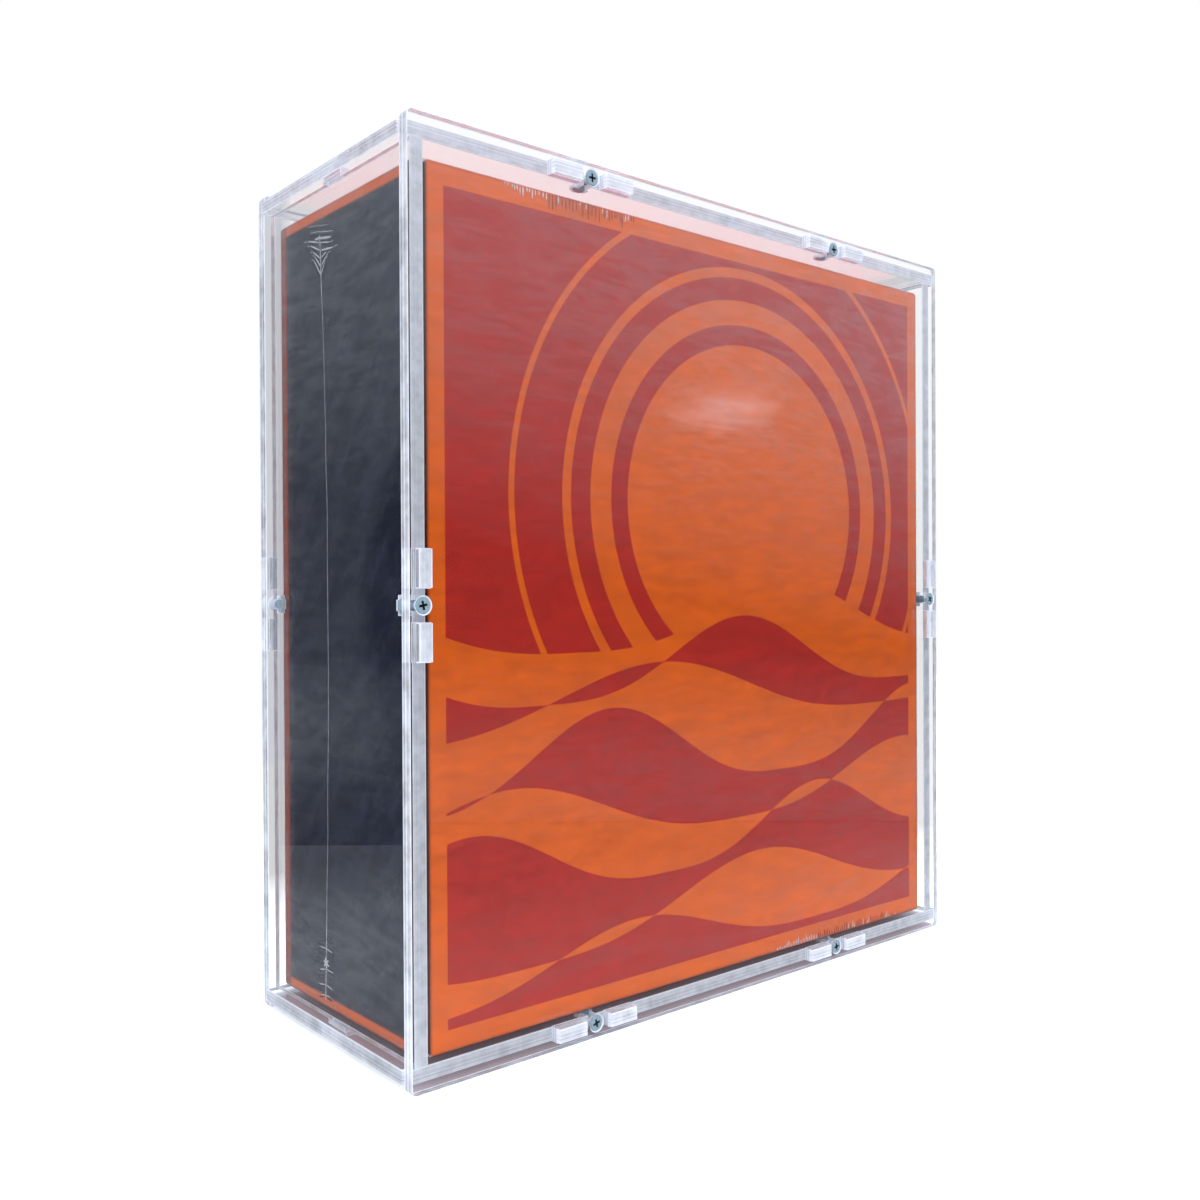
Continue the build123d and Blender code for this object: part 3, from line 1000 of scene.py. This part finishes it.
def seam_strokes():
    """Folds with a painted highlight and creases with painted shade, where the film is gathered at
    both ends of its seam.
    """
    skin, out = CARTON_LOW[0] - 0.15, (-1, 0, 0)
    head, foot = CARTON_HIGH[2], CARTON_LOW[2]
    light, dark = [], []
    chance = random.Random(8)

    def stroke(group, y0, z0, y1, z1, width):
        group.append(((skin, y0, z0), (skin, y1, z1), out, width))

    heights = [foot + 3 + n * 5.6 for n in range(51)]
    for low, high in zip(heights, heights[1:]):
        near_end = high > head - SEAM_END or low < foot + SEAM_END
        stroke(light, seam_at(low - 0.8), low - 0.8, seam_at(high + 0.8), high + 0.8,
               0.55 if near_end else 0.28)
    for n, (left, right) in enumerate(((10.0, 7.0), (8.0, 11.0), (4.0, 9.0))):
        z = head - 7.0 - 2.3 * n
        y = seam_at(z)
        width = (0.2, 0.3, 0.9)[n]
        stroke(light, y - right, z + 0.7 - 0.24 * right, y + 1.0, z + 0.3, width)
        stroke(light, y - 1.0, z + 0.3, y + left, z - 0.5 + 0.24 * left, width)
        stroke(dark, y - right, z - 0.4 - 0.24 * right, y + left, z - 1.2 + 0.24 * left, 0.4)
    for n in range(5):
        share = n / 4
        z = head - 13.0 - 12.0 * share
        for side in (-1, 1):
            reach = side * (10.5 - 4.5 * share) * chance.uniform(0.65, 1.1)
            rise = 0.2 + 6.0 * share * chance.uniform(0.7, 1.2) + 0.24 * reach
            y = seam_at(z)
            stroke(light, y, z, y + reach, z + rise, chance.uniform(0.5, 0.8))
            stroke(light, y + reach, z + rise, y + 1.3 * reach, z + rise + 0.2, 0.3)
            stroke(dark, y + reach * 0.15, z - 0.8, y + reach * 0.85, z + rise - 0.9, 0.8)
    for n in range(13):
        z = foot + 4.0 + 1.9 * n
        for side in (-1, 1):
            y = seam_at(z)
            bulge = 4.0 + 5.5 * math.sin(math.pi * (n + 1.5) / 15)
            reach = side * bulge * chance.uniform(0.7, 1.1)
            rise = chance.uniform(-1.2, 0.4)
            stroke(dark, y + side * 0.4, z, y + reach, z + rise, chance.uniform(0.6, 0.9))
            if n in (0, 2, 5, 9):
                stroke(light, y, z + 0.8, y + reach * 0.7, z + 0.8 + rise, 0.45)
    star = foot + 16.5
    for turn in (20, 75, 140, 200, 262, 320):
        y = seam_at(star)
        stroke(light, y, star, y + 2.4 * math.cos(math.radians(turn)),
               star + 2.2 * math.sin(math.radians(turn)), 0.9)
    return light, dark


def edge_strokes():
    """Creases with a painted highlight and creases with painted shade, down the front's upper edge
    and up its lower edge.
    """
    skin, out = FILM_LOW[1] + 0.03, (0, -1, 0)
    chance = random.Random(21)
    light, dark = [], []
    for first, last, edge, way in ((-104.0, -44.0, CARTON_HIGH[2] - 0.8, -1),
                                   (34.0, 118.0, CARTON_LOW[2] + 0.8, 1)):
        x = first
        while x < last:
            share = (x - first) / (last - first)
            fade = min(1.0, 5.0 * share + 0.4, 5.0 - 5.0 * share + 0.4)
            reach = chance.choice((1.6, 2.2, 2.8, 3.6)) * fade
            group = dark if share > 0.3 and chance.random() < 0.7 else light
            if group is dark and way < 0:
                reach *= 1.6
            end = (x + chance.uniform(-0.15, 0.15), skin, edge + way * reach)
            group.append(((x, skin, edge), end, out, chance.uniform(0.4, 0.6)))
            x += chance.uniform(0.9, 1.9)
    return light, dark


# ---------------------------------------------------------------- operators
def settings():
    return bpy.context.scene.case_sizes, bpy.context.scene.case_colours


def wear(thing, *names):
    """Gives a piece its materials, in slot order."""
    slots = thing.data.materials
    while len(slots) < len(names):
        slots.append(None)
    for number, name in enumerate(names):
        material = bpy.data.materials.get(name)
        if material is None:
            raise RuntimeError(f"{thing.name} needs the material {name}: make the finishes first")
        slots[number] = material


class CASE_OT_finishes(bpy.types.Operator):
    """Make the finishes of every piece"""

    bl_idname = "display_case.finishes"
    bl_label = "Finishes"

    def execute(self, context):
        sizes, colours = settings()
        clear_acrylic(colours)
        # where a pair follows the frosted shares, it is the painted light and shade at the case's
        # foot and head
        for axis in range(3):
            cut_acrylic(colours, "cut_acrylic_", axis, (0.5, 0.8),
                        (1.07, 0.95) if axis == 1 else (1.0, 1.0))
            cut_acrylic(colours, "cut_walls_", axis, (0.75, 0.95))
            cut_acrylic(colours, "cut_ends_", axis, (0.4, 0.65), (0.85, 0.85))
        zinc_plate(colours)
        printed_card(sizes, colours)
        shrink_wrap()
        # painted highlight on the film's folds; painted shade in its creases and on the seam's
        # creases
        film_stroke("film_fold_highlight", (0.8, 0.82, 0.86), 0.6)
        film_stroke("film_crease_shade", (0.45, 0.05, 0.02), 0.75)
        film_stroke("film_shade", tuple(colours.slate), 0.75)
        floor_paint()
        return {"FINISHED"}


class CASE_OT_panels(bpy.types.Operator):
    """Make the six clear panels"""

    bl_idname = "display_case.panels"
    bl_label = "Clear Panels"

    def execute(self, context):
        sizes, _ = settings()
        for node, maker, body, axis in (
            ("front_panel", face_panel, "front_panel", "y"),
            ("back_panel", face_panel, "back_panel", "y"),
            ("left_panel", side_panel, "frame", "x"),
            ("right_panel", side_panel, "frame", "x"),
            ("top_panel", level_panel, "frame", "z"),
            ("bottom_panel", level_panel, "frame", "z"),
        ):
            name = "clear_" + node
            sheet = link_object(name, maker(sizes, name, *millimetres(node)))
            whiten_walls(sizes, sheet.data)
            wear(sheet, "clear_acrylic", "cut_acrylic_" + axis, "cut_walls_" + axis,
                 "cut_ends_" + axis)
            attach(sheet, body)
            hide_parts(node)
        return {"FINISHED"}


class CASE_OT_screws(bpy.types.Operator):
    """Make the countersunk screws, one for each joint and face"""

    bl_idname = "display_case.screws"
    bl_label = "Screws"

    def execute(self, context):
        sizes, _ = settings()
        shape = screw_tree().run(
            bpy.data.meshes.new("screw_shape"), "zinc_plate", Head_Diameter=sizes.head_diameter,
            Head_Rim=sizes.head_rim, Head_Bevel=sizes.head_bevel,
            Thread_Diameter=sizes.thread_diameter, Pitch=sizes.thread_pitch,
            Length=sizes.screw_length, Recess_Span=sizes.recess_span,
            Recess_Width=sizes.recess_width, Recess_Depth=sizes.recess_depth)
        for face in FACES:
            outward = -1 if face == "front" else 1
            seat = FRONT_LOW[1] if face == "front" else BACK_HIGH[1]
            seat -= outward * sizes.head_sink
            stand = Matrix.Rotation(math.radians(-90 * outward), 4, "X")
            for (place, (x, z, _)), turn in zip(joint_spots().items(), SCREW_TURNS):
                spin = Matrix.Rotation(math.radians(turn), 4, "Z")
                mesh = shape.copy()
                mesh.transform(Matrix.Translation(Vector((x, seat, z)) * MM) @ stand @ spin)
                node = f"screw_{face}_{place}"
                screw = link_object("zinc_" + node, mesh)
                wear(screw, "zinc_plate")
                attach(screw, node)
                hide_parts(node)
        return {"FINISHED"}


class CASE_OT_nuts(bpy.types.Operator):
    """Make the nuts that the T-slots hold"""

    bl_idname = "display_case.nuts"
    bl_label = "Captive Nuts"

    def execute(self, context):
        sizes, _ = settings()
        nodes, middles, turns = [], [], []
        for face in FACES:
            for place, (_, _, upright) in joint_spots().items():
                node = f"nut_{face}_{place}"
                low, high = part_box(node)
                nodes.append(node)
                middles.append((low + high) / 2)
                turns += (math.radians(90), math.radians(90) if upright else 0.0, 0.0)
        mesh = nut_tree().run(
            points_mesh("nut_places", middles, turn=turns), "zinc_plate",
            Across_Flats=sizes.nut_flats, Thickness=sizes.nut_thickness, Bore=sizes.nut_bore)
        nuts = link_object("zinc_nuts", mesh)
        wear(nuts, "zinc_plate")
        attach(nuts, "frame")
        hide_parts(*nodes)
        return {"FINISHED"}


class CASE_OT_carton(bpy.types.Operator):
    """Make the printed carton"""

    bl_idname = "display_case.carton"
    bl_label = "Printed Carton"

    def execute(self, context):
        sizes, _ = settings()

        def swell(point, normal):
            return -0.05 + 0.04 * noise(point * 0.02)

        carton = link_object("printed_carton", rounded_shell(
            "printed_carton", CARTON_LOW, CARTON_HIGH, sizes.carton_radius, 12.0, swell))
        wear(carton, "carton_print")
        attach(carton, "carton")
        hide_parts("carton")
        return {"FINISHED"}


class CASE_OT_film(bpy.types.Operator):
    """Make the shrink film with its seam"""

    bl_idname = "display_case.film"
    bl_label = "Shrink Film"

    def execute(self, context):
        sizes, _ = settings()
        inset = 0.02    # how far the mesh keeps inside the film's solid
        low = [CARTON_LOW[0] - 0.13, FILM_LOW[1] + inset, FILM_LOW[2] + inset]
        high = [value - inset for value in FILM_HIGH]

        def ripple(point, normal):
            rise = 0.02 * fractal(point * 0.06, 1.0, 2.0, 3)
            if normal.x < -0.9:
                from_seam = abs(point.y - seam_at(point.z))
                rise += SEAM_RISE * max(0.0, 1.0 - from_seam / SEAM_HALF_WIDTH)
            return rise

        film = link_object("shrink_wrap", rounded_shell(
            "shrink_wrap", low, high, sizes.carton_radius + 0.1, 3.5, ripple))
        wear(film, "shrink_wrap")
        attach(film, "carton")
        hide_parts("shrink_film")

        tree = stroke_tree()
        # folds get a painted highlight, creases painted shade
        for place, (light, dark), shade_finish in (("seam", seam_strokes(), "film_shade"),
                                              ("edge", edge_strokes(), "film_crease_shade")):
            lay_strokes(tree, place + "_folds", "film_fold_highlight", light)
            lay_strokes(tree, place + "_creases", shade_finish, dark)
        return {"FINISHED"}


def build_floor():
    """Floor under and round the case."""
    along, across = Vector((*FLOOR_WAY, 0.0)), Vector((FLOOR_WAY[1], -FLOOR_WAY[0], 0.0))
    (near, far), (left, right) = FLOOR_ENDS, FLOOR_SIDES
    corners = ((near, left), (near, right), (far, right), (far, left))
    ground = bpy.data.meshes.new("floor")
    ground.from_pydata([along * a + across * b for a, b in corners], [], [(0, 1, 2, 3)])
    floor = link_object("floor", ground)
    wear(floor, "floor_paint")


def light_scene(scene):
    """The surroundings and three soft lamps, which mirrors and clear sheets don't show."""
    world = bpy.data.worlds.new("studio")
    scene.world = world
    world.use_nodes = True
    world.node_tree.nodes.clear()
    paint_surroundings(world.node_tree)
    target = Vector((0.0, 0.0, 0.16))
    for name, spot, size, power in (("softbox_front", (-0.7, -1.3, 1.9), 1.1, 26.0),
                                    ("softbox_right", (1.7, -1.1, 0.9), 0.9, 13.0),
                                    ("softbox_left", (-1.5, -0.3, 0.2), 0.8, 6.5)):
        lamp = bpy.data.lights.new(name, "AREA")
        lamp.shape = "SQUARE"
        lamp.size = size
        lamp.energy = power
        holder = link_object(name, lamp)
        holder.location = spot
        holder.visible_glossy = False
        holder.visible_transmission = False
        holder.rotation_euler = (target - Vector(spot)).to_track_quat("-Z", "Y").to_euler()


def place_camera(scene):
    """Camera at eye level with the case, a little tilted."""
    lens = bpy.data.cameras.new("camera")
    lens.sensor_width = 36.0
    lens.lens = 34.69
    lens.clip_start, lens.clip_end = 0.01, 50.0
    camera = link_object("camera", lens)
    yaw, pitch, roll = CAMERA_TURN
    level = math.cos(pitch)
    ahead = Vector((math.sin(yaw) * level, math.cos(yaw) * level, math.sin(pitch)))
    right = Vector((math.cos(yaw), -math.sin(yaw), 0.0))
    up = right.cross(ahead)
    tilt = Matrix.Rotation(roll, 3, ahead)
    axes = Matrix((tilt @ right, tilt @ up, -ahead)).transposed().to_4x4()
    camera.matrix_world = Matrix.Translation(Vector(CAMERA_SPOT)) @ axes
    scene.camera = camera


class CASE_OT_stage(bpy.types.Operator):
    """Make the floor, the light and the camera"""

    bl_idname = "display_case.stage"
    bl_label = "Stage"

    def execute(self, context):
        scene = context.scene
        build_floor()
        light_scene(scene)
        place_camera(scene)
        scene.view_settings.view_transform = "Standard"
        scene.cycles.max_bounces = 24
        scene.cycles.glossy_bounces = 16
        scene.cycles.transmission_bounces = 20
        scene.cycles.transparent_max_bounces = 32
        return {"FINISHED"}


OPERATORS = (CASE_OT_finishes, CASE_OT_panels, CASE_OT_screws, CASE_OT_nuts, CASE_OT_carton,
             CASE_OT_film, CASE_OT_stage)


class CASE_PT_panel(bpy.types.Panel):
    """Lists the case's sizes, colours and pieces"""

    bl_idname = "CASE_PT_panel"
    bl_label = "Display Case"
    bl_space_type = "VIEW_3D"
    bl_region_type = "UI"
    bl_category = "Display Case"

    def draw(self, context):
        for group in (context.scene.case_sizes, context.scene.case_colours):
            column = self.layout.column(align=True)
            for name in group.__annotations__:
                column.prop(group, name, text=name.replace("_", " ").capitalize())
        for operator in OPERATORS:
            self.layout.operator(operator.bl_idname)


CLASSES = (CaseSizes, CaseColours, *OPERATORS, CASE_PT_panel)


def register():
    for kind in CLASSES:
        bpy.utils.register_class(kind)
    bpy.types.Scene.case_sizes = PointerProperty(type=CaseSizes)
    bpy.types.Scene.case_colours = PointerProperty(type=CaseColours)


def unregister():
    del bpy.types.Scene.case_colours
    del bpy.types.Scene.case_sizes
    for kind in reversed(CLASSES):
        bpy.utils.unregister_class(kind)


def main():
    register()
    for operator in OPERATORS:
        family, action = operator.bl_idname.split(".")
        getattr(getattr(bpy.ops, family), action)()


if __name__ == "__main__":
    main()
